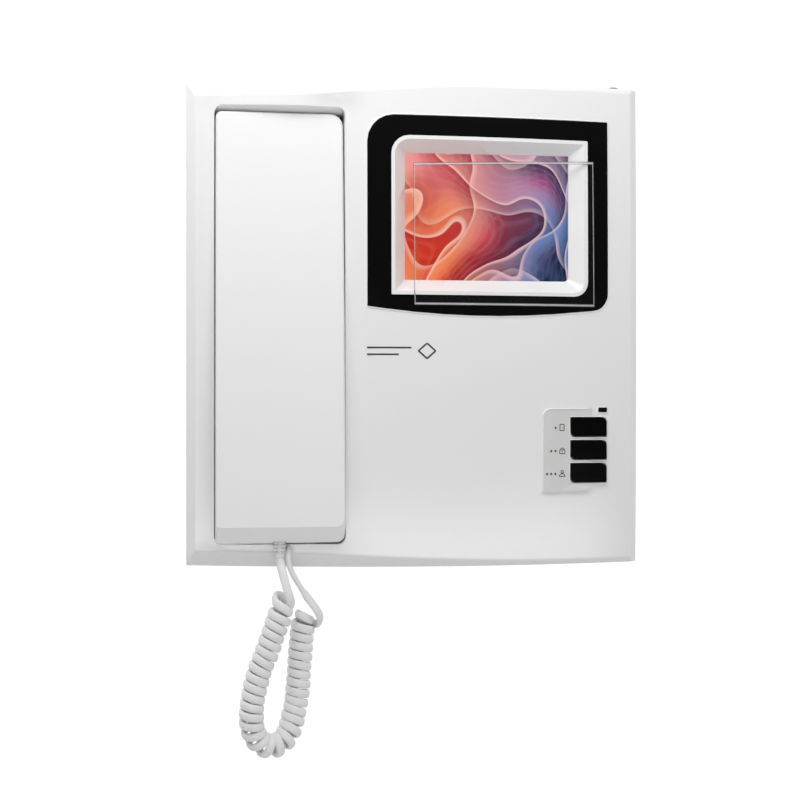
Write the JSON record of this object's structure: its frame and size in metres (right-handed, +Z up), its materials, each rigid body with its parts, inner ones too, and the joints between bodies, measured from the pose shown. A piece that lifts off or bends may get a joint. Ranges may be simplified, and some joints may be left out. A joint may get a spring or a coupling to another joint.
{
  "type": "video intercom monitor",
  "caption": "Wall-hung video intercom monitor: white convex case, screen in a black bezel, call buttons and a corded handset that lifts out of its cradle.",
  "frame": {"origin": "centre of the back face of the steel wall bracket, where the monitor hangs on the wall", "axes": "+X to the right of the person using it, +Y into the wall, +Z up; the screen faces -Y"},
  "size_m": [0.2184, 0.0615, 0.3211],
  "materials": {
    "white_case": "satin white moulded ABS",
    "gloss_black": "glossy black plastic",
    "button_black": "satin black plastic",
    "cord_white": "smooth white flexible PVC",
    "steel": "zinc plated steel",
    "board_green": "green solder mask",
    "dark_plastic": "matt dark plastic",
    "display_glass": "lit display under smooth glass",
    "clear_film": "thin clear protective film",
    "copper": "varnished windings",
    "capacitor_blue": "blue sleeve",
    "label_white": "white label plate",
    "ribbon_grey": "grey ribbon cable",
    "lamp_red": "red indicator lamp"
  },
  "bodies": {
    "monitor": {"wall_bracket": "steel", "rear_cover": "white_case", "front_cover": "white_case", "cover_screw_1": "steel", "cover_screw_2": "steel", "cover_screw_3": "steel", "cover_screw_4": "steel", "bezel_plate": "gloss_black", "screen_frame": "white_case", "screen_film": "clear_film", "lcd_panel": "display_glass", "lcd_tray": "steel", "button_switch_1": "dark_plastic", "button_switch_2": "dark_plastic", "button_switch_3": "dark_plastic", "button_board": "board_green", "label_plate": "label_white", "indicator_lens": "gloss_black", "indicator_led": "lamp_red", "main_board": "board_green", "board_screw_1": "steel", "board_screw_2": "steel", "board_screw_3": "steel", "board_screw_4": "steel", "transformer": "copper", "capacitor_1": "capacitor_blue", "capacitor_2": "capacitor_blue", "terminal_block": "dark_plastic", "ribbon_connector": "dark_plastic", "ribbon_cable": "ribbon_grey", "call_speaker": "dark_plastic", "hook_switch": "dark_plastic", "brightness_pot": "dark_plastic", "cord_grommet": "cord_white", "cord_coil": "cord_white", "cord_lead_base": "cord_white"},
    "handset": {"handset_front": "white_case", "handset_back": "white_case", "receiver_capsule": "dark_plastic", "microphone_capsule": "dark_plastic", "handset_weight": "steel", "handset_screw_1": "steel", "handset_screw_2": "steel", "handset_strain_relief": "cord_white", "cord_lead_handset": "cord_white"},
    "hook": {"hook_plunger": "white_case"},
    "call_button_1": {"button_1": "button_black"},
    "call_button_2": {"button_2": "button_black"},
    "call_button_3": {"button_3": "button_black"},
    "brightness": {"brightness_wheel": "dark_plastic"}
  },
  "joints": [
    {"name": "handset_lift", "type": "slide", "parent": "monitor", "child": "handset", "axis": [0, -0.9969, 0.0785], "range_m": [0, 0.06]},
    {"name": "hook_rise", "type": "slide", "parent": "monitor", "child": "hook", "axis": [0, -0.9969, 0.0785], "range_m": [0, 0.004]},
    {"name": "press_button_1", "type": "slide", "parent": "monitor", "child": "call_button_1", "axis": [0, 1, 0], "range_m": [0, 0.001], "stiffness_N_per_m": 1000, "springref_m": -0.0005},
    {"name": "press_button_2", "type": "slide", "parent": "monitor", "child": "call_button_2", "axis": [0, 1, 0], "range_m": [0, 0.001], "stiffness_N_per_m": 1000, "springref_m": -0.0005},
    {"name": "press_button_3", "type": "slide", "parent": "monitor", "child": "call_button_3", "axis": [0, 1, 0], "range_m": [0, 0.001], "stiffness_N_per_m": 1000, "springref_m": -0.0005},
    {"name": "brightness_turn", "type": "hinge", "parent": "monitor", "child": "brightness", "pos_m": [0.0982, -0.0381, 0.1102], "axis": [0, 1, 0], "range_deg": [-135, 135]}
  ],
  "couplings": [
    {"joint": "hook_rise", "follows": "handset_lift", "ratio": 0.0666}
  ]
}
